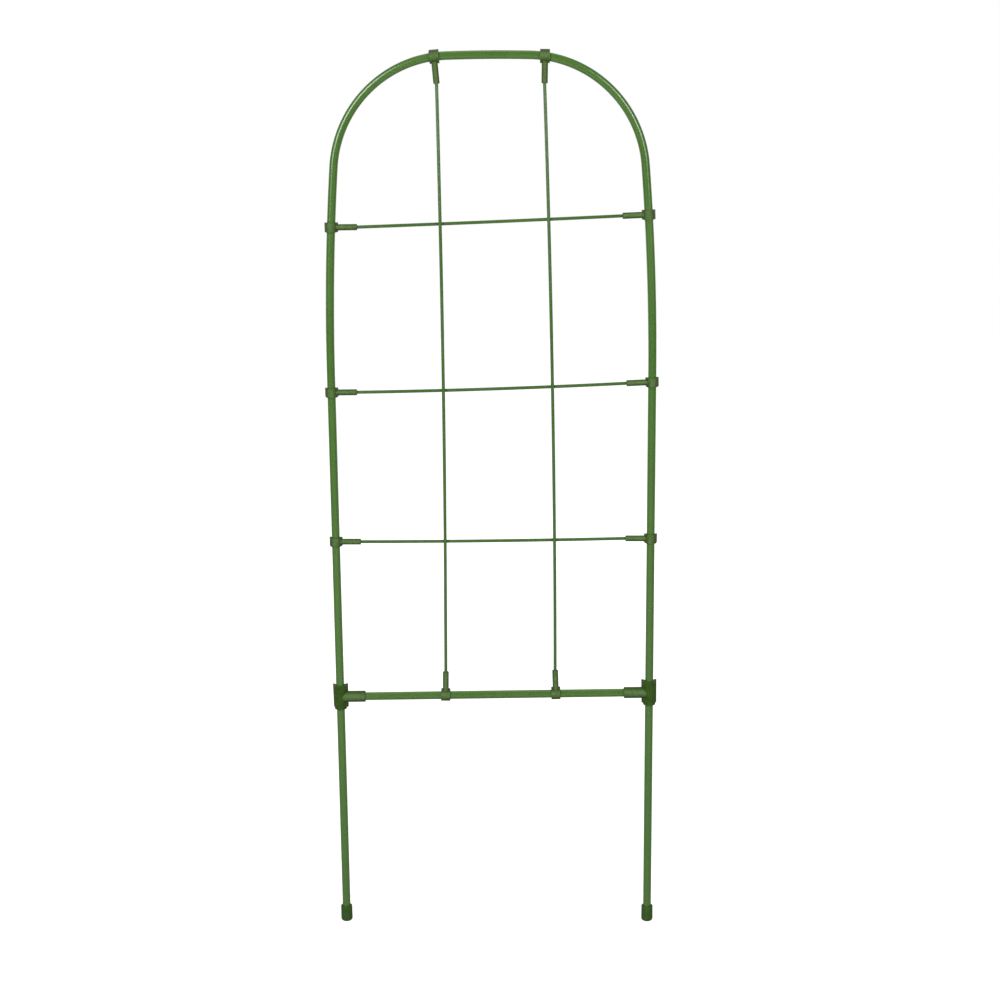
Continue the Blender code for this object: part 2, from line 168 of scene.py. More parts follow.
def build_coat_group():
    """Smooth plastic coat: soft colour drift, draw lines along the tube, dust and orange peel."""
    group, given, out = add_group(
        "drawn_coat",
        (
            ("Vector", "NodeSocketVector", None),
            ("Around", "NodeSocketFloat", 0.0),
            ("Colour", "NodeSocketColor", colour(0.07, 0.18, 0.03)),
            ("Deep Colour", "NodeSocketColor", colour(0.05, 0.14, 0.02)),
            ("Dust Colour", "NodeSocketColor", colour(0.25, 0.30, 0.18)),
            ("Dust", "NodeSocketFloat", 0.1),
        ),
        (
            ("Colour", "NodeSocketColor"),
            ("Roughness Change", "NodeSocketFloat"),
            ("Height", "NodeSocketFloat"),
        ),
    )
    place = given["Vector"]
    drift = add_range(group, add_noise(group, place, DRIFT_SCALE, 4.0, 0.6), 0.32, 0.68)
    line_place = add_node(group, "ShaderNodeCombineXYZ", {"X": given["Around"], "Y": 0.0, "Z": 0.0})
    lines = add_noise(group, line_place.outputs["Vector"], LINE_SCALE, 5.0, 0.7)
    peel = add_noise(group, place, PEEL_SCALE, 2.0, 0.5)
    specks = add_range(group, add_noise(group, place, SPECK_SCALE, 2.0, 0.6), 0.66, 0.74)
    patches = add_range(group, add_noise(group, place, PATCH_SCALE, 5.0, 0.65), 0.50, 0.72)
    dust = add_math(group, "ADD", specks, patches)
    dust = add_math(group, "MULTIPLY", dust, given["Dust"], clamp=True)
    base = add_mix(group, drift, given["Deep Colour"], given["Colour"])
    shown = add_mix(group, dust, base, given["Dust Colour"])
    rough = add_math(group, "MULTIPLY", add_math(group, "SUBTRACT", drift, 0.5), DRIFT_ROUGHNESS)
    rough = add_math(group, "ADD", rough, add_math(group, "MULTIPLY", dust, DUST_ROUGHNESS))
    height = add_math(group, "MULTIPLY", lines, LINE_SHARE)
    height = add_math(group, "ADD", height, add_math(group, "MULTIPLY", peel, PEEL_SHARE))
    for label, source in (("Colour", shown), ("Roughness Change", rough), ("Height", height)):
        group.links.new(source, out[label])
    return group


DRAWN_COAT = build_coat_group()


def add_material(name):
    """A material with its shader, and the place on the piece that patterns read."""
    material = bpy.data.materials.new(name)
    material.use_nodes = True
    tree = material.node_tree
    shader = tree.nodes["Principled BSDF"]
    place = add_node(tree, "ShaderNodeTexCoord").outputs["Object"]
    return material, tree, shader, place


def add_bump(tree, shader, height, strength, distance):
    links = {"Height": height, "Strength": strength, "Distance": distance}
    bump = add_node(tree, "ShaderNodeBump", links)
    tree.links.new(bump.outputs["Normal"], shader.inputs["Normal"])


def build_coat(name, shade, deep, dusty, dust, roughness, shine):
    """A material for a coated tube or rod; its draw lines follow the attribute around."""
    material, tree, shader, place = add_material(name)
    around = add_node(tree, "ShaderNodeAttribute", attribute_name="around").outputs["Fac"]
    coat = add_node(tree, "ShaderNodeGroup", node_tree=DRAWN_COAT)
    tree.links.new(place, coat.inputs["Vector"])
    tree.links.new(around, coat.inputs["Around"])
    coat.inputs["Colour"].default_value = shade
    coat.inputs["Deep Colour"].default_value = deep
    coat.inputs["Dust Colour"].default_value = dusty
    coat.inputs["Dust"].default_value = dust
    tree.links.new(coat.outputs["Colour"], shader.inputs["Base Color"])
    rough = add_math(tree, "ADD", coat.outputs["Roughness Change"], roughness)
    tree.links.new(rough, shader.inputs["Roughness"])
    shader.inputs["Specular IOR Level"].default_value = shine
    add_bump(tree, shader, coat.outputs["Height"], COAT_BUMP, COAT_DEPTH)
    return material


TUBE_COAT = build_coat(
    "tube_coat",
    shade=colour(0.058, 0.160, 0.013),
    deep=colour(0.050, 0.146, 0.010),
    dusty=colour(0.150, 0.210, 0.090),
    dust=0.05,
    roughness=0.27,
    shine=1.0,
)


def add_ring(shape, radius, place, facets):
    """A ring of edges in the plane across place's Z; it notes how far round each corner sits."""
    around = shape.verts.layers.float.new("around")
    ring = bmesh.ops.create_circle(shape, radius=radius, segments=facets, cap_ends=False)["verts"]
    for vert in ring:
        vert[around] = abs(math.atan2(vert.co.y, vert.co.x))
    bmesh.ops.transform(shape, matrix=place, verts=ring)
    return shape.edges[:]


def draw_on(shape, edges, move):
    """Draws a ring on by a transform and gives the new ring's edges."""
    made = bmesh.ops.extrude_edge_only(shape, edges=edges)["geom"]
    ring = [item for item in made if isinstance(item, bmesh.types.BMVert)]
    bmesh.ops.transform(shape, matrix=move, verts=ring)
    known = set(ring)
    edges = [item for item in made if isinstance(item, bmesh.types.BMEdge)]
    return [edge for edge in edges if known.issuperset(edge.verts)]


def turn_on(shape, edges, centre, angle, steps):
    """Bends the tube on round a centre, anticlockwise as seen from the front."""
    geometry = list({vert for edge in edges for vert in edge.verts}) + list(edges)
    made = bmesh.ops.spin(
        shape,
        geom=geometry,
        cent=centre,
        axis=-BACK,
        dvec=(0, 0, 0),
        angle=angle,
        steps=steps,
        use_merge=False,
        use_duplicate=False,
    )["geom_last"]
    return [item for item in made if isinstance(item, bmesh.types.BMEdge)]


def give_wall(shape, wall):
    """Turns the faces of a drawn shell outwards and gives it a wall on the inside."""
    bmesh.ops.recalc_face_normals(shape, faces=shape.faces)
    bmesh.ops.solidify(shape, geom=shape.faces, thickness=wall)


def mirrored(point):
    """The same point on the other side of the trellis."""
    return Vector((-point.x, point.y, point.z))


arch = bmesh.new()
foot_place = Matrix.Translation((HALF_SPACING, 0, TUBE_FOOT))
end_edges = add_ring(arch, TUBE_RADIUS, foot_place, TUBE_FACETS)
straight_step = Matrix.Translation((STRAIGHT_TOP - TUBE_FOOT) / STRAIGHT_STEPS * UP)
for _ in range(STRAIGHT_STEPS):
    end_edges = draw_on(arch, end_edges, straight_step)
bends = (
    (LEAN_CENTRE, LEAN, LEAN_STEPS),
    (SHOULDER_CENTRE, SHOULDER_END - LEAN, SHOULDER_STEPS),
    (CROWN_CENTRE, math.pi - 2 * SHOULDER_END, CROWN_STEPS),
    (mirrored(SHOULDER_CENTRE), SHOULDER_END - LEAN, SHOULDER_STEPS),
    (mirrored(LEAN_CENTRE), LEAN, LEAN_STEPS),
)
for bend_centre, bend_angle, bend_steps in bends:
    end_edges = turn_on(arch, end_edges, bend_centre, bend_angle, bend_steps)
for _ in range(STRAIGHT_STEPS):
    end_edges = draw_on(arch, end_edges, straight_step.inverted())
give_wall(arch, TUBE_WALL)
add_piece("coated_arch_tube", arch, TUBE_COAT, "frame", "arch_tube")


# ---- Cross tube
# A straight length of the same coated tube.  Its ends are pushed into the branches of the tees,
# so only the part between the branches shows.  It was pressed on a little higher on the right.
CROSS_LEFT = Vector((-HALF_SPACING, 0, 0.3338))
CROSS_RIGHT = Vector((HALF_SPACING, 0, 0.3392))
CROSS_LINE = (CROSS_RIGHT - CROSS_LEFT).normalized()
TEE_RADIUS = 0.0086
FIT_GAP = 0.0003
CROSS_STEPS = 8
cross_start = CROSS_LEFT + (TEE_RADIUS + FIT_GAP) * CROSS_LINE
cross_end = CROSS_RIGHT - (TEE_RADIUS + FIT_GAP) * CROSS_LINE
cross_turn = CROSS_LINE.to_track_quat("Z", "Y").to_matrix().to_4x4()
cross = bmesh.new()
cross_place = Matrix.Translation(cross_start) @ cross_turn
end_edges = add_ring(cross, TUBE_RADIUS, cross_place, TUBE_FACETS)
cross_step = Matrix.Translation((cross_end - cross_start) / CROSS_STEPS)
for _ in range(CROSS_STEPS):
    end_edges = draw_on(cross, end_edges, cross_step)
give_wall(cross, TUBE_WALL)
add_piece("coated_cross_tube", cross, TUBE_COAT, "frame", "cross_tube")


# ---- Tees
# Two heavy C-shaped collars of moulded plastic, pressed onto the uprights from the front.  Each
# has a round branch that takes one end of the cross tube.  The lower end of the collar is
# narrower and rounded, and the lips behind flare out so that the collar opens when it is pressed.
TUBE_SEAT = TUBE_RADIUS + FIT_GAP
TEE_LENGTH = 0.034
TEE_BACK = 0.0066
TEE_SPREAD = TEE_RADIUS + 0.0020
TEE_LIP_DEGREES = 69
TEE_MOUTH_DEGREES = 50
TEE_TAPER = 0.98
TEE_LOWER_ROUND = 0.0010
TEE_EDGE = 0.0004
BRANCH_RADIUS = TUBE_SEAT + 0.0019
BRANCH_REACH = TEE_RADIUS + 0.026
BRANCH_CHAMFER = 0.0008
LIP_WALL = 0.0018
SEAT_SLACK = 0.00004
SEAT_MARGIN = 0.004
COLLAR_FACETS = 44
SOCKET_FACETS = 40
MERGE_GAP = 0.000001
CUT_MERGE_GAP = 0.000002
MOTTLE_SCALE = 110.0
GRAIN_SCALE = 1500.0
FLECK_SCALE = 480.0
PATCHINESS_SCALE = 620.0
MOTTLE_ROUGHNESS = 0.10
WEAR_AND_LIT_ROUGHNESS = 0.15
MOULD_BUMP = 0.35
ROUNDED_WEAR = 0.2
# Painted light on the moulded pieces: faces turned to the front are drawn lighter, and more so where
# they also turn up, as if lit from lamps in front and above.
LIT_FRONT_SHARE = 0.8
LIT_ABOVE_SHARE = 1.0
LIT_FRONT_FOCUS = 3


def build_mould_group():
    """Moulded plastic: mottled body, fine light speckle, a patchy lighter tone where the marks say,
    and a fine grain. The lighter tone is wear on rounded edges and painted light on faces turned to
    the front and up.
    """
    group, given, out = add_group(
        "moulded_plastic",
        (
            ("Vector", "NodeSocketVector", None),
            ("Worn Edge And Lit Front", "NodeSocketFloat", 0.0),
            ("Colour", "NodeSocketColor", colour(0.06, 0.11, 0.03)),
            ("Deep Colour", "NodeSocketColor", colour(0.04, 0.08, 0.02)),
            ("Fleck And Lit Colour", "NodeSocketColor", colour(0.16, 0.24, 0.10)),
            ("Speckle", "NodeSocketFloat", 0.4),
            ("Wear And Lit Share", "NodeSocketFloat", 0.4),
        ),
        (
            ("Colour", "NodeSocketColor"),
            ("Roughness Change", "NodeSocketFloat"),
            ("Height", "NodeSocketFloat"),
        ),
    )
    place = given["Vector"]
    mottle = add_range(group, add_noise(group, place, MOTTLE_SCALE, 4.0, 0.65), 0.30, 0.70)
    grain = add_noise(group, place, GRAIN_SCALE, 3.0, 0.6)
    fleck = add_range(group, add_noise(group, place, FLECK_SCALE, 3.0, 0.7), 0.55, 0.70)
    fleck = add_math(group, "MULTIPLY", fleck, given["Speckle"], clamp=True)
    # The patchy lighter tone: wear on rounded edges, and painted light on fronts and tops.
    patchiness = add_range(group, add_noise(group, place, PATCHINESS_SCALE, 3.0, 0.6), 0.34, 0.66, 0.45, 1.0)
    wear_and_lit = add_math(group, "MULTIPLY", patchiness, given["Worn Edge And Lit Front"])
    wear_and_lit = add_math(group, "MULTIPLY", wear_and_lit, given["Wear And Lit Share"], clamp=True)
    base = add_mix(group, mottle, given["Deep Colour"], given["Colour"])
    shown = add_mix(group, add_math(group, "MAXIMUM", fleck, wear_and_lit), base, given["Fleck And Lit Colour"])
    rough = add_math(group, "MULTIPLY", add_math(group, "SUBTRACT", mottle, 0.5), MOTTLE_ROUGHNESS)
    rough = add_math(group, "ADD", rough, add_math(group, "MULTIPLY", wear_and_lit, WEAR_AND_LIT_ROUGHNESS))
    for label, source in (("Colour", shown), ("Roughness Change", rough), ("Height", grain)):
        group.links.new(source, out[label])
    return group


MOULDED_PLASTIC = build_mould_group()


def build_plastic(name, shade, deep, fleck_and_lit_colour, speckle, wear_and_lit, roughness, shine, grain):
    """A material for a moulded piece; it turns lighter where the attribute edge says so, which holds
    wear on rounded edges and painted light on fronts and tops.
    """
    material, tree, shader, place = add_material(name)
    edge = add_node(tree, "ShaderNodeAttribute", attribute_name="edge").outputs["Fac"]
    mould = add_node(tree, "ShaderNodeGroup", node_tree=MOULDED_PLASTIC)
    tree.links.new(place, mould.inputs["Vector"])
    tree.links.new(edge, mould.inputs["Worn Edge And Lit Front"])
    mould.inputs["Colour"].default_value = shade
    mould.inputs["Deep Colour"].default_value = deep
    mould.inputs["Fleck And Lit Colour"].default_value = fleck_and_lit_colour
    mould.inputs["Speckle"].default_value = speckle
    mould.inputs["Wear And Lit Share"].default_value = wear_and_lit
    tree.links.new(mould.outputs["Colour"], shader.inputs["Base Color"])
    rough = add_math(tree, "ADD", mould.outputs["Roughness Change"], roughness)
    tree.links.new(rough, shader.inputs["Roughness"])
    shader.inputs["Specular IOR Level"].default_value = shine
    add_bump(tree, shader, mould.outputs["Height"], MOULD_BUMP, grain)
    return material


CLIP_PLASTIC = build_plastic(
    "clip_plastic",
    shade=colour(0.039, 0.091, 0.010),
    deep=colour(0.026, 0.068, 0.006),
    fleck_and_lit_colour=colour(0.175, 0.262, 0.108),
    speckle=0.18,
    wear_and_lit=0.70,
    roughness=0.48,
    shine=0.15,
    grain=0.00010,
)


def build_collar(radius, length, back, spread, lip_degrees, mouth_degrees):
    """A C-shaped collar along Z: a spun wall whose two ends run out into flared lips."""
    shape = bmesh.new()
    mouth = math.radians(mouth_degrees)
    lip = math.radians(lip_degrees)
    wall = [
        shape.verts.new((size * math.sin(lip), size * math.cos(lip), -length / 2))
        for size in (TUBE_SEAT, radius)
    ]
    first = shape.edges.new(wall)
    made = bmesh.ops.spin(
        shape,
        geom=wall + [first],
        cent=(0, 0, 0),
        axis=-UP,
        dvec=(0, 0, 0),
        angle=2 * math.pi - 2 * lip,
        steps=COLLAR_FACETS,
        use_merge=False,
        use_duplicate=False,
    )["geom_last"]
    last = next(item for item in made if isinstance(item, bmesh.types.BMEdge))
    inner = TUBE_SEAT * Vector((math.sin(mouth), math.cos(mouth)))
    for side, edge in ((1, first), (-1, last)):
        places = (inner.x, inner.y), (spread - LIP_WALL, back), (spread, back)
        near, far = sorted(edge.verts, key=lambda vert: vert.co.xy.length)
        corners = [near, far]
        for x, y in places:
            corners.append(shape.verts.new((side * x, y, -length / 2)))
        near, far, throat, tip_in, tip_out = corners
        shape.faces.new((near, far, tip_out, tip_in, throat))
    bmesh.ops.recalc_face_normals(shape, faces=shape.faces)
    made = bmesh.ops.extrude_face_region(shape, geom=shape.faces)["geom"]
    raised = [item for item in made if isinstance(item, bmesh.types.BMVert)]
    bmesh.ops.translate(shape, vec=length * UP, verts=raised)
    bmesh.ops.recalc_face_normals(shape, faces=shape.faces)
    return shape


def sharp_edges(shape):
    """The edges that a mould would round."""
    closed = [edge for edge in shape.edges if edge.is_manifold]
    return [edge for edge in closed if edge.calc_face_angle() > SHARP_ANGLE]


def soften(shape, edges, width, segments=3):
    """Rounds edges as a mould does, and marks the rounding, which wears lighter."""
    wear_and_lit_layer = shape.faces.layers.float.get("edge") or shape.faces.layers.float.new("edge")
    made = bmesh.ops.bevel(
        shape,
        geom=edges,
        offset=width,
        segments=segments,
        profile=0.5,
        affect="EDGES",
        material=-1,
        clamp_overlap=True,
    )["faces"]
    for face in made:
        face[wear_and_lit_layer] = ROUNDED_WEAR


def paint_lit_front(shape, above):
    """Marks the faces that look to the front and up for painted light: they are drawn lighter, as if
    lit from the front and above.
    """
    wear_and_lit_layer = shape.faces.layers.float.get("edge") or shape.faces.layers.float.new("edge")
    for face in shape.faces:
        facing = max(-face.normal.y, 0) ** LIT_FRONT_FOCUS
        face[wear_and_lit_layer] = max(face[wear_and_lit_layer], LIT_FRONT_SHARE * facing * (1 + above * face.normal.z))


def build_seat_core(length, back, spread, mouth_degrees):
    """A bar along Z that fills a collar's seat and mouth, a hair slimmer than they are."""
    mouth = math.radians(mouth_degrees)
    radius = TUBE_SEAT - SEAT_SLACK
    shape = bmesh.new()
    first = shape.verts.new((radius * math.sin(mouth), radius * math.cos(mouth), 0))
    made = bmesh.ops.spin(
        shape,
        geom=[first],
        cent=(0, 0, 0),
        axis=-UP,
        dvec=(0, 0, 0),
        angle=2 * math.pi - 2 * mouth,
        steps=COLLAR_FACETS,
        use_merge=False,
        use_duplicate=False,
    )["geom_last"]
    last = next(item for item in made if isinstance(item, bmesh.types.BMVert))
    wide = spread - LIP_WALL - SEAT_SLACK
    wide += SEAT_MARGIN * (wide - first.co.x) / (back - first.co.y)
    behind = [shape.verts.new((side * wide, back + SEAT_MARGIN, 0)) for side in (-1, 1)]
    for pair in ((last, behind[0]), behind, (behind[1], first)):
        shape.edges.new(pair)
    section = bmesh.ops.edgeloop_fill(shape, edges=shape.edges)["faces"]
    made = bmesh.ops.extrude_face_region(shape, geom=section)["geom"]
    raised = [item for item in made if isinstance(item, bmesh.types.BMVert)]
    bmesh.ops.translate(shape, vec=length * UP, verts=raised)
    bmesh.ops.translate(shape, vec=-length / 2 * UP, verts=shape.verts)
    bmesh.ops.recalc_face_normals(shape, faces=shape.faces)
    return shape


def build_sleeve(bore, radius, stop, reach, chamfer, fillet):
    """A round socket along X, spun from its outline: root inside the collar, barrel and nose."""
    shape = bmesh.new()
    outline = [
        (stop / 4, 0),
        (stop / 4, radius + fillet),
        (stop, radius + fillet),
        (stop + 0.3 * fillet, radius + 0.45 * fillet),
        (stop + 0.65 * fillet, radius + 0.12 * fillet),
        (stop + fillet, radius),
        (reach - chamfer, radius),
        (reach - 0.3 * chamfer, radius - 0.25 * chamfer),
        (reach, radius - 0.8 * chamfer),
        (reach, bore + 0.5 * chamfer),
        (reach - 0.5 * chamfer, bore),
        (stop, bore),
        (stop, 0),
    ]
    verts = [shape.verts.new((x, 0, size)) for x, size in outline]
    edges = [shape.edges.new(pair) for pair in zip(verts, verts[1:])]
    bmesh.ops.spin(
        shape,
        geom=verts + edges,
        cent=(0, 0, 0),
        axis=RIGHT,
        dvec=(0, 0, 0),
        angle=2 * math.pi,
        steps=SOCKET_FACETS,
        use_merge=True,
        use_duplicate=False,
    )
    bmesh.ops.remove_doubles(shape, verts=shape.verts, dist=MERGE_GAP)
    bmesh.ops.recalc_face_normals(shape, faces=shape.faces)
    return shape


def frame_at(origin, out, along):
    """Frame at origin with X along out, Y to the back and Z close to the line of along."""
    x_axis = out.normalized()
    y_axis = along.cross(x_axis).normalized()
    y_axis *= math.copysign(1, y_axis.dot(BACK))
    turn = Matrix((x_axis, y_axis, x_axis.cross(y_axis))).transposed().to_4x4()
    return Matrix.Translation(origin) @ turn


def combined(first, second, operation):
    """One closed shape from two that run into each other."""
    objects = []
    for shape in (first, second):
        mesh = bpy.data.meshes.new("half")
        shape.to_mesh(mesh)
        shape.free()
        item = bpy.data.objects.new("half", mesh)
        bpy.context.scene.collection.objects.link(item)
        objects.append(item)
    change = objects[0].modifiers.new("change", "BOOLEAN")
    change.operation = operation
    change.object = objects[1]
    change.solver = "EXACT"
    result = bmesh.new()
    result.from_object(objects[0], bpy.context.evaluated_depsgraph_get())
    for item in objects:
        mesh = item.data
        bpy.data.objects.remove(item)
        bpy.data.meshes.remove(mesh)
    bmesh.ops.remove_doubles(result, verts=result.verts, dist=CUT_MERGE_GAP)
    return result


for side_name, side, centre in (("left", -1, CROSS_LEFT), ("right", 1, CROSS_RIGHT)):
    tee_place = frame_at(centre, -side * CROSS_LINE, UP)
    collar = build_collar(
        TEE_RADIUS, TEE_LENGTH, TEE_BACK, TEE_SPREAD, TEE_LIP_DEGREES, TEE_MOUTH_DEGREES
    )
    down = -tee_place.col[2].z
    low_end = [vert for vert in collar.verts if vert.co.z * down > 0]
    bmesh.ops.scale(collar, vec=(TEE_TAPER, 1, 1), verts=low_end)
    low_set = set(low_end)
    low_rim = [edge for edge in sharp_edges(collar) if low_set.issuperset(edge.verts)]
    soften(collar, low_rim, TEE_LOWER_ROUND, segments=4)
    high_set = {vert for vert in collar.verts if vert.co.z * down < 0}
    high_edges = [edge for edge in sharp_edges(collar) if high_set.intersection(edge.verts)]
    soften(collar, high_edges, TEE_EDGE)
    branch = build_sleeve(TUBE_SEAT, BRANCH_RADIUS, TEE_RADIUS, BRANCH_REACH, BRANCH_CHAMFER, 0)
    # Painted light: the branch is drawn lighter on its front and upper side, as if lit from the
    # front and above.
    paint_lit_front(branch, -down * LIT_ABOVE_SHARE)
    core = build_seat_core(
        TEE_LENGTH + SEAT_MARGIN, TEE_BACK, TEE_SPREAD, TEE_MOUTH_DEGREES
    )
    tee = combined(combined(collar, branch, "UNION"), core, "DIFFERENCE")
    bmesh.ops.transform(tee, matrix=tee_place, verts=tee.verts)
    tee_node = f"tee_{side_name}"
    add_piece(f"moulded_{tee_node}", tee, CLIP_PLASTIC, "frame", tee_node)


# ---- Foot caps
# A moulded plastic cup is pushed over the lower end of each upright, down to its own floor.  It
# keeps soil out of the tube and the coat off hard ground, and its lower edge is well rounded.
CAP_RADIUS = TUBE_SEAT + 0.0022
CAP_HEIGHT = 0.0225
CAP_FLOOR = 0.003
CAP_ROUND = 0.0035
CAP_RIM = 0.0009
CAP_FACETS = 48

CAP_PLASTIC = build_plastic(
    "cap_plastic",
    shade=colour(0.046, 0.106, 0.021),
    deep=colour(0.034, 0.082, 0.015),
    fleck_and_lit_colour=colour(0.120, 0.190, 0.080),
    speckle=0.25,
    wear_and_lit=0.50,
    roughness=0.52,
    shine=0.18,
    grain=0.00014,
)

CAP_PROFILE = (
    (0, CAP_FLOOR),
    (TUBE_SEAT, CAP_FLOOR),
    (TUBE_SEAT, CAP_HEIGHT),
    (CAP_RADIUS, CAP_HEIGHT),
    (CAP_RADIUS, 0),
    (0, 0),
)
for side_name, side in (("left", -1), ("right", 1)):
    cap = bmesh.new()
    cap_verts = [cap.verts.new((size, 0, height)) for size, height in CAP_PROFILE]
    cap_edges = [cap.edges.new(pair) for pair in zip(cap_verts, cap_verts[1:])]
    bmesh.ops.spin(
        cap,
        geom=cap_verts + cap_edges,
        cent=(0, 0, 0),
        axis=UP,
        dvec=(0, 0, 0),
        angle=2 * math.pi,
        steps=CAP_FACETS,
        use_merge=True,
        use_duplicate=False,
    )
    bmesh.ops.remove_doubles(cap, verts=cap.verts, dist=MERGE_GAP)
    bmesh.ops.recalc_face_normals(cap, faces=cap.faces)
    floor_line = CAP_FLOOR / 2
    sharp = sharp_edges(cap)
    lower = [edge for edge in sharp if all(vert.co.z < floor_line for vert in edge.verts)]
    soften(cap, lower, CAP_ROUND, segments=8)
    rim_line = CAP_HEIGHT - CAP_RIM
    sharp = sharp_edges(cap)
    upper = [edge for edge in sharp if all(vert.co.z > rim_line for vert in edge.verts)]
    soften(cap, upper, CAP_RIM, segments=4)
    bmesh.ops.translate(cap, vec=side * HALF_SPACING * RIGHT, verts=cap.verts)
    cap_node = f"foot_cap_{side_name}"
    add_piece(f"foot_cup_{side_name}", cap, CAP_PLASTIC, "frame", cap_node)


# ---- Rungs
# Three thin steel rods with a thin green coat.  Each end sits in the socket of a moulded clip that
# is pressed onto an upright, so the rungs follow the clips' slant and sag a little between them.
# The middle and the lower rung slide on the straight part of the uprights.
ROD_RADIUS = 0.00215
ROD_FACETS = 28
RUNG_STEPS = 24
RUNG_HEIGHTS = {
    "upper": (0.9772, 0.9910),
    "middle": (0.7593, 0.7713),
    "lower": (0.5547, 0.5578),
}
RUNG_SLOPES = {"upper": (0.4, 2.2), "middle": (0.4, 2.5), "lower": (-0.3, -0.1)}
RUNG_SAGS = {"upper": 0.0005, "middle": 0.0016, "lower": 0.0010}
RUNG_BODIES = {"upper": "frame", "middle": "middle_rung", "lower": "lower_rung"}
CLIP_RADIUS = TUBE_SEAT + 0.0020
CLIP_LENGTH = 0.0125
CLIP_BACK = 0.0036
CLIP_SPREAD = CLIP_RADIUS + 0.0012
CLIP_LIP_DEGREES = 97
CLIP_MOUTH_DEGREES = 62
CLIP_EDGE = 0.00045
ROD_SEAT = ROD_RADIUS + FIT_GAP
SOCKET_RADIUS = ROD_SEAT + 0.0016
SOCKET_REACH = CLIP_RADIUS + 0.026
NOSE_CHAMFER = 0.0007
SOCKET_FILLET = 0.0004

ROD_COAT = build_coat(
    "rod_coat",
    shade=colour(0.048, 0.134, 0.012),
    deep=colour(0.040, 0.116, 0.009),
    dusty=colour(0.170, 0.230, 0.120),
    dust=0.05,
    roughness=0.31,
    shine=0.90,
)


def upright_at(side, height):
    """Axis point of an upright at a height, and the direction in which the tube runs up."""
    above = max(height - STRAIGHT_TOP, 0)
    angle = math.asin(above / LEAN_RADIUS)
    inward = LEAN_RADIUS * (1 - math.cos(angle))
    point = Vector((side * (HALF_SPACING - inward), 0, height))
    return point, Vector((-side * math.sin(angle), 0, math.cos(angle)))


def slanting(degrees, line, side):
    """Direction close to line, up or to the right, turned by degrees towards side."""
    angle = math.radians(degrees)
    return math.cos(angle) * line + math.sin(angle) * side


def bar_path(start, start_out, end, end_out, bow, steps):
    """Points of a rod that is straight in both its sockets and bows evenly between their noses."""
    seat = CLIP_RADIUS + FIT_GAP
    first = start + SOCKET_REACH * start_out
    last = end + SOCKET_REACH * end_out
    points = [start + seat * start_out]
    for i in range(steps + 1):
        share = i / steps
        points.append(first.lerp(last, share) + 4 * share * (1 - share) * bow)
    points.append(end + seat * end_out)
    return points


def add_rod(name, points, body, node):
    """A solid coated rod drawn along points, with its two ends cut square."""
    shape = bmesh.new()
    places = []
    for i, point in enumerate(points):
        along = (points[min(i + 1, len(points) - 1)] - points[max(i - 1, 0)]).normalized()
        across = BACK.cross(along).normalized()
        turn = Matrix((across, along.cross(across), along)).transposed().to_4x4()
        places.append(Matrix.Translation(point) @ turn)
    edges = add_ring(shape, ROD_RADIUS, places[0], ROD_FACETS)
    for before, after in zip(places, places[1:]):
        edges = draw_on(shape, edges, after @ before.inverted())
    ends = [edge for edge in shape.edges if edge.is_boundary]
    bmesh.ops.holes_fill(shape, edges=ends, sides=0)
    bmesh.ops.recalc_face_normals(shape, faces=shape.faces)
    add_piece(name, shape, ROD_COAT, body, node)


def add_clip(name, centre, tube_direction, rod_direction, body, node):
    """A clip at centre, with its socket along rod_direction."""
    collar = build_collar(
        CLIP_RADIUS, CLIP_LENGTH, CLIP_BACK, CLIP_SPREAD, CLIP_LIP_DEGREES, CLIP_MOUTH_DEGREES
    )
    soften(collar, sharp_edges(collar), CLIP_EDGE)
    socket = build_sleeve(
        ROD_SEAT, SOCKET_RADIUS, CLIP_RADIUS, SOCKET_REACH, NOSE_CHAMFER, SOCKET_FILLET
    )
    core = build_seat_core(
        CLIP_LENGTH + SEAT_MARGIN, CLIP_BACK, CLIP_SPREAD, CLIP_MOUTH_DEGREES
    )
    clip = combined(combined(collar, socket, "UNION"), core, "DIFFERENCE")
    clip_place = frame_at(centre, rod_direction, tube_direction)
    bmesh.ops.transform(clip, matrix=clip_place, verts=clip.verts)
    clip.normal_update()
    # Painted light: the clip is drawn lighter where it faces the front and up, as if lit from the
    # front and above.
    paint_lit_front(clip, LIT_ABOVE_SHARE)
    add_piece(name, clip, CLIP_PLASTIC, body, node)


for level, (left_height, right_height) in RUNG_HEIGHTS.items():
    left, left_tube = upright_at(-1, left_height)
    right, right_tube = upright_at(1, right_height)
    left_slope, right_slope = RUNG_SLOPES[level]
    left_out = slanting(left_slope, RIGHT, UP)
    right_out = -slanting(right_slope, RIGHT, UP)
    rung_points = bar_path(left, left_out, right, right_out, -RUNG_SAGS[level] * UP, RUNG_STEPS)
    body = RUNG_BODIES[level]
    add_rod(f"coated_rung_{level}", rung_points, body, f"rung_{level}")
    left_node, right_node = f"clip_{level}_left", f"clip_{level}_right"
    add_clip(f"rung_{left_node}", left, left_tube, left_out, body, left_node)
    add_clip(f"rung_{right_node}", right, right_tube, right_out, body, right_node)


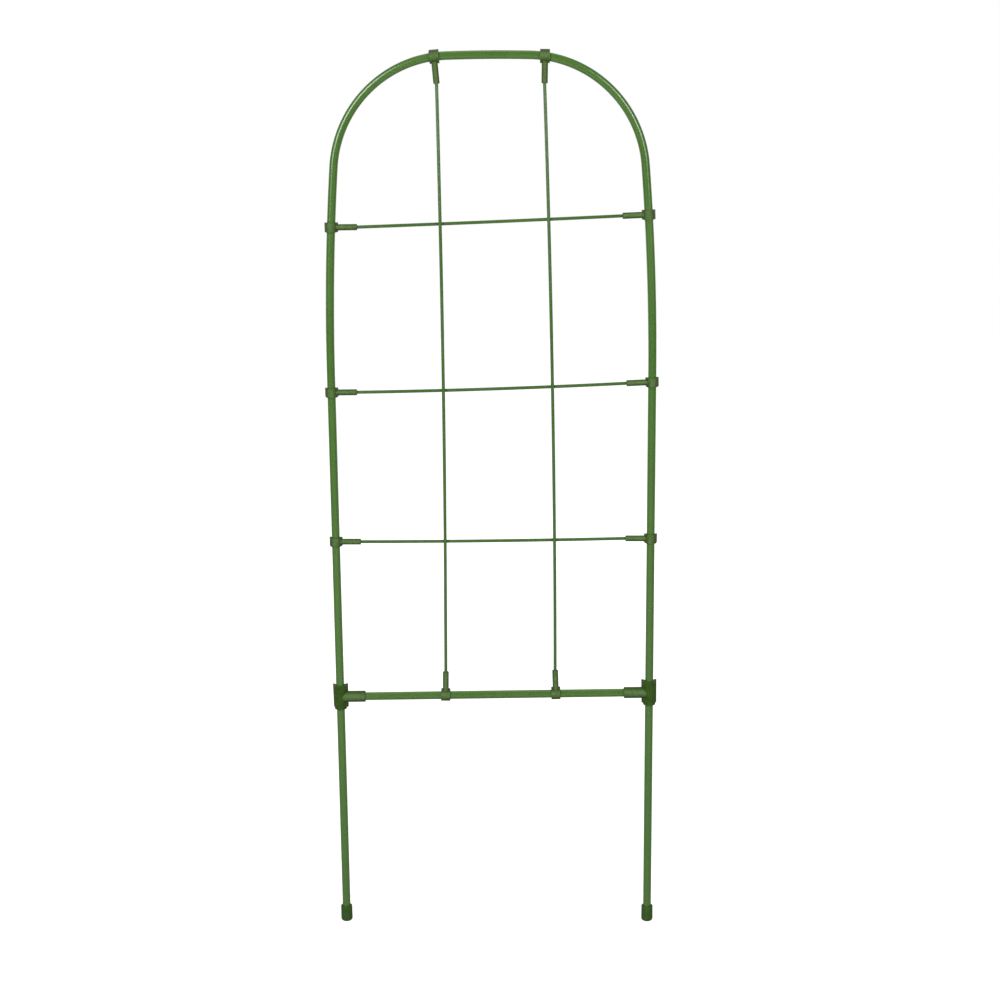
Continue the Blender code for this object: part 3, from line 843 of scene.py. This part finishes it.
# ---- Upright rods
# Two longer rods of the same kind run from clips on the crown to clips on the cross tube.  They
# start in the plane of the tubes, bow forward to pass in front of the rungs, and bow a little to
# the right as they were pressed in.
ROD_PLACES = {"left": (-0.0690, -0.0670), "right": (0.0720, 0.0842)}
ROD_SLANTS = {"left": (4.6, -1.0), "right": (-1.0, 1.6)}
ROD_BOWS = {"left": 0.0029, "right": 0.0032}
ROD_STEPS = 72
ROD_FORWARD = 2 * ROD_RADIUS + FIT_GAP
LOWER_RUNG_DROP = 0.085
PASSING_MARGIN = 0.004
FORWARD_FROM = RUNG_HEIGHTS["lower"][0] - LOWER_RUNG_DROP - PASSING_MARGIN
FORWARD_TO = RUNG_HEIGHTS["upper"][1] + PASSING_MARGIN


def crown_at(x):
    """Axis point of the arch above x, and the direction in which the tube runs to the right."""
    side = math.copysign(1, x)
    angle = math.acos(abs(x) / CROWN_RADIUS)
    radius = CROWN_RADIUS
    centre = CROWN_CENTRE
    if angle < SHOULDER_END:
        angle = math.acos((abs(x) - SHOULDER_CENTRE.x) / SHOULDER_RADIUS)
        radius = SHOULDER_RADIUS
        centre = SHOULDER_CENTRE
    point = Vector((x, 0, centre.z + radius * math.sin(angle)))
    return point, Vector((math.sin(angle), 0, -side * math.cos(angle)))


def eased(share):
    """Goes smoothly from zero to one, and stays there."""
    share = min(max(share, 0), 1)
    return share**2 * (3 - 2 * share)


for side_name, (top_x, foot_x) in ROD_PLACES.items():
    top, arch_direction = crown_at(top_x)
    foot = CROSS_LEFT + (foot_x + HALF_SPACING) / CROSS_LINE.x * CROSS_LINE
    top_slant, foot_slant = ROD_SLANTS[side_name]
    top_out = slanting(top_slant, -UP, RIGHT)
    foot_out = slanting(foot_slant, UP, -RIGHT)
    foot_nose = foot.z + SOCKET_REACH * foot_out.z
    top_nose = top.z + SOCKET_REACH * top_out.z
    rod_points = []
    sideways = ROD_BOWS[side_name] * RIGHT
    for point in bar_path(foot, foot_out, top, top_out, sideways, ROD_STEPS):
        forward = eased((point.z - foot_nose) / (FORWARD_FROM - foot_nose))
        forward *= eased((top_nose - point.z) / (top_nose - FORWARD_TO))
        rod_points.append(point - ROD_FORWARD * forward * BACK)
    rod_node = f"rod_{side_name}"
    add_rod(f"coated_{rod_node}", rod_points, "frame", rod_node)
    top_name, foot_name = f"rod_clip_{side_name}_top", f"rod_clip_{side_name}_foot"
    add_clip(top_name, top, arch_direction, top_out, "frame", f"clip_{rod_node}_top")
    add_clip(foot_name, foot, CROSS_LINE, foot_out, "frame", f"clip_{rod_node}_foot")


# ---- Studio
# A white paper floor and white all round.  Two tall lamps stand in front to the left and the
# right, a soft one hangs above, and weak ones fill in from the front and the back.  White is
# mirrored only from behind the trellis.  The camera stands at the photograph's viewing angle.
scene = bpy.context.scene
scene.view_settings.view_transform = "Standard"


def add_seen_mask(tree, share):
    """One for the camera, share for reflections and looks through glass, and zero for light."""
    path = add_node(tree, "ShaderNodeLightPath").outputs
    bounced = add_math(tree, "MAXIMUM", path["Is Glossy Ray"], path["Is Transmission Ray"])
    bounced = add_math(tree, "MULTIPLY", bounced, share)
    return add_math(tree, "MAXIMUM", path["Is Camera Ray"], bounced)


FLOOR_RADIUS = 5.0
FLOOR_FACETS = 96
PAPER_GREY = 0.50
PAPER_ROUGHNESS = 0.9
NEAR_GLOW = 0.86
FAR_GLOW = 1.0
NEAR_REACH = 0.50
FAR_REACH = 1.60
FLOOR_WHITE_FROM = 0.50
FLOOR_WHITE_TO = 2.00
paper, tree, shader, place = add_material("white_paper")
away = add_node(tree, "ShaderNodeVectorMath", {0: place}, operation="LENGTH").outputs["Value"]
glow = add_range(tree, away, NEAR_REACH, FAR_REACH, NEAR_GLOW, FAR_GLOW)
depth = add_node(tree, "ShaderNodeSeparateXYZ", {"Vector": place}).outputs["Y"]
behind = add_range(tree, depth, FLOOR_WHITE_FROM, FLOOR_WHITE_TO)
shader.inputs["Base Color"].default_value = colour(PAPER_GREY, PAPER_GREY, PAPER_GREY)
shader.inputs["Roughness"].default_value = PAPER_ROUGHNESS
shader.inputs["Specular IOR Level"].default_value = 0.0
shader.inputs["Emission Color"].default_value = colour(1, 1, 1)
seen = add_seen_mask(tree, behind)
tree.links.new(add_math(tree, "MULTIPLY", seen, glow), shader.inputs["Emission Strength"])

paper_sheet = bmesh.new()
bmesh.ops.create_circle(
    paper_sheet, radius=FLOOR_RADIUS, segments=FLOOR_FACETS, cap_ends=True
)
floor_mesh = bpy.data.meshes.new("studio_floor")
paper_sheet.to_mesh(floor_mesh)
paper_sheet.free()
floor_mesh.materials.append(paper)
floor = bpy.data.objects.new("studio_floor", floor_mesh)
scene.collection.objects.link(floor)

FRONT_LEVEL = 0.12
BACK_LEVEL = 0.22
ROOM_FRONT = -0.35
ROOM_BACK = 0.10
WALL_WHITE_FROM = 0.35
WALL_WHITE_TO = 0.85
world = bpy.data.worlds.new("studio")
scene.world = world
world.use_nodes = True
tree = world.node_tree
direction = add_node(tree, "ShaderNodeTexCoord").outputs["Object"]
depth = add_node(tree, "ShaderNodeSeparateXYZ", {"Vector": direction}).outputs["Y"]
front_room = colour(FRONT_LEVEL, FRONT_LEVEL, FRONT_LEVEL)
back_room = colour(BACK_LEVEL, BACK_LEVEL, BACK_LEVEL)
room = add_mix(tree, add_range(tree, depth, ROOM_FRONT, ROOM_BACK), front_room, back_room)
behind = add_range(tree, depth, WALL_WHITE_FROM, WALL_WHITE_TO)
room = add_mix(tree, add_seen_mask(tree, behind), room, colour(1, 1, 1))
tree.links.new(room, tree.nodes["Background"].inputs["Color"])
tree.nodes["Background"].inputs["Strength"].default_value = 1.0

LAMP_TARGET = Vector((0, 0, 0.65))


def add_lamp(name, place, width, height, power):
    """A soft box that is turned to the trellis."""
    lamp = bpy.data.lights.new(name, "AREA")
    lamp.shape = "RECTANGLE"
    lamp.size = width
    lamp.size_y = height
    lamp.energy = power
    item = bpy.data.objects.new(name, lamp)
    item.location = place
    beam = LAMP_TARGET - Vector(place)
    item.rotation_euler = beam.to_track_quat("-Z", "Y").to_euler()
    scene.collection.objects.link(item)
    return item


add_lamp("lamp_left", (-1.48, -1.60, 1.76), 0.80, 1.68, 37.0)
add_lamp("lamp_right", (1.48, -1.60, 1.68), 0.70, 1.40, 25.0)
add_lamp("lamp_top", (0.0, 0.35, 3.30), 1.60, 0.90, 6.0)
lamp_fill = add_lamp("lamp_fill", (0.0, -2.20, 0.70), 1.60, 0.50, 11.0)
lamp_fill.visible_glossy = False
lamp_back = add_lamp("lamp_back", (0.0, 2.40, 1.30), 1.20, 1.20, 15.0)
lamp_back.visible_camera = False
lamp_back.visible_glossy = False

PITCH, YAW, ROLL = (math.radians(angle) for angle in (14.06, 1.21, 0.51))
AIM = Vector((0.0099, 0, 0.6117))
DISTANCE = 2.68
turn = Matrix.Rotation(YAW, 3, "Z") @ Matrix.Rotation(-PITCH, 3, "X") @ Matrix.Rotation(ROLL, 3, "Y")
look = turn @ BACK
camera_data = bpy.data.cameras.new("camera")
camera_data.sensor_width = 36.0
camera_data.lens = 72.0
camera_data.clip_start = 0.05
camera_data.clip_end = 50.0
camera = bpy.data.objects.new("camera", camera_data)
scene.collection.objects.link(camera)
camera_turn = Matrix((turn @ RIGHT, turn @ UP, -look)).transposed().to_4x4()
camera.matrix_world = Matrix.Translation(AIM - DISTANCE * look) @ camera_turn
scene.camera = camera
